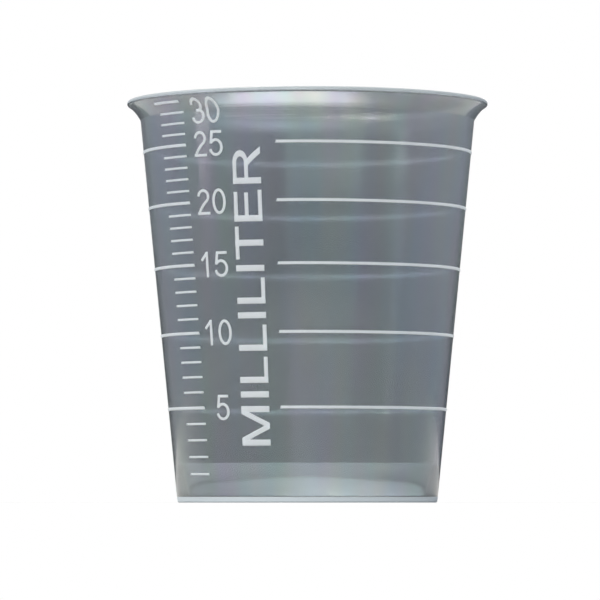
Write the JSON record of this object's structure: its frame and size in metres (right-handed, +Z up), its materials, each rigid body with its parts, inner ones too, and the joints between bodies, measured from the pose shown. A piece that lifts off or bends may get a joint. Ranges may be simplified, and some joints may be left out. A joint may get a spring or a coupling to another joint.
{
  "type": "medicine cup",
  "caption": "Small tapered medicine cup with a flared rim, a domed floor and raised volume rings and ticks, moulded in one piece.",
  "frame": {"origin": "centre of the foot, on the surface that the cup stands on", "axes": "+Z up along the cup's axis, -Y towards the front where the numbers are read, +X to the right of someone facing the front"},
  "size_m": [0.038, 0.038, 0.0423],
  "materials": {
    "clear_plastic": "translucent moulded polypropylene, glossy and slightly hazy, with the raised marks frosted"
  },
  "bodies": {
    "root": {"cup": "clear_plastic"}
  },
  "joints": []
}
